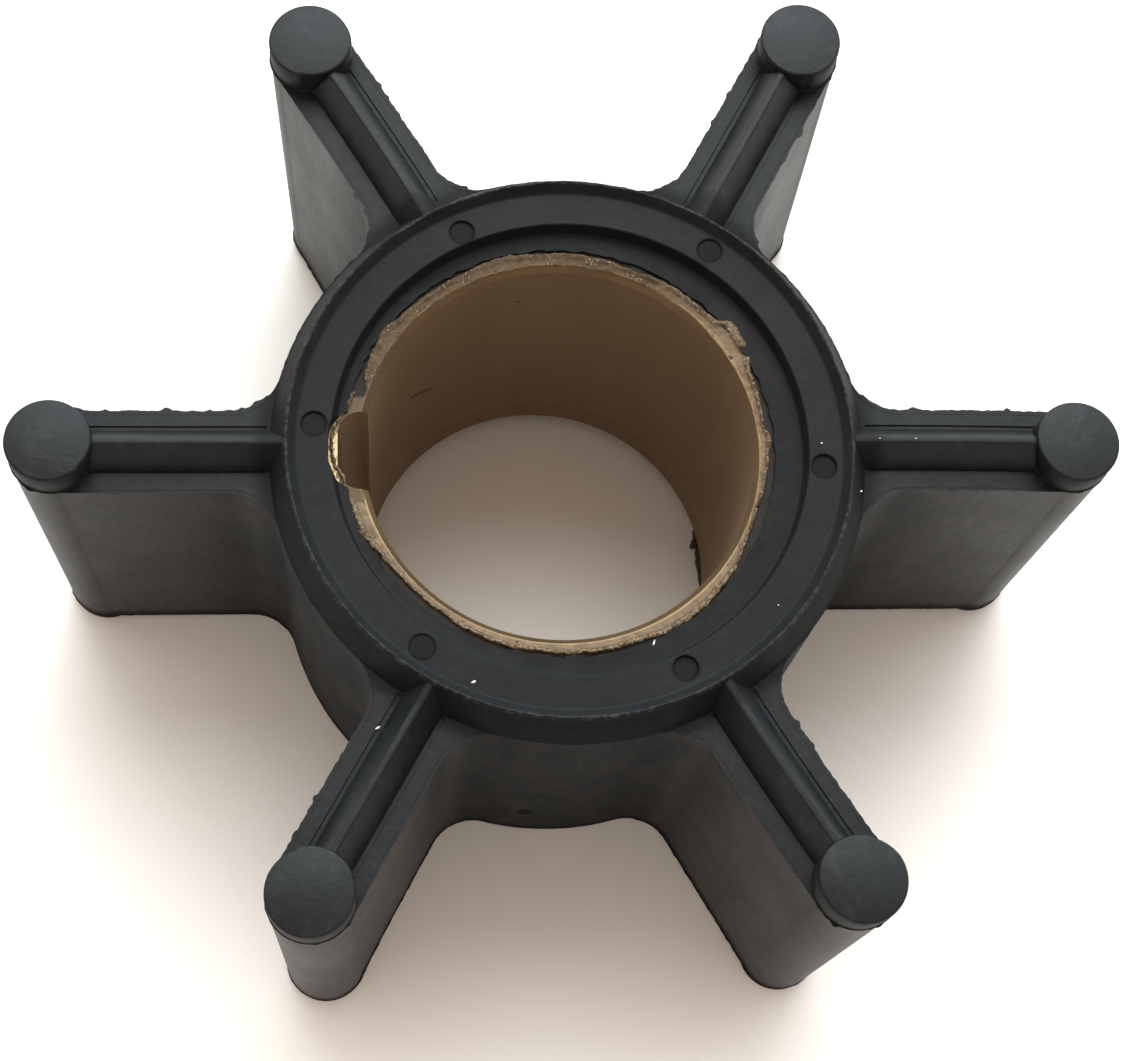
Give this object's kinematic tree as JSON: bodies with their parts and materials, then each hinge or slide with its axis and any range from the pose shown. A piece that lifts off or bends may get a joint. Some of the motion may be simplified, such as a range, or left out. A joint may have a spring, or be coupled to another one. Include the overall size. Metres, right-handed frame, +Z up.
{
  "type": "pump impeller",
  "caption": "Flexible rubber pump impeller: straight radial vanes with round bulbs at their tips, moulded in one piece with a hub on a keyed brass bush.",
  "frame": {"origin": "on the hub's axis, at the level of the lower tip faces", "axes": "+Z up along the hub's axis, with which the bore runs parallel, +X along the vane opposite the keyway"},
  "size_m": [0.068, 0.0596, 0.0295],
  "materials": {
    "rubber": "matt moulded nitrile rubber",
    "brass": "dull turned brass, darkened in the bore"
  },
  "bodies": {
    "root": {"rubber_moulding": "rubber", "drive_bush": "brass"}
  },
  "joints": []
}
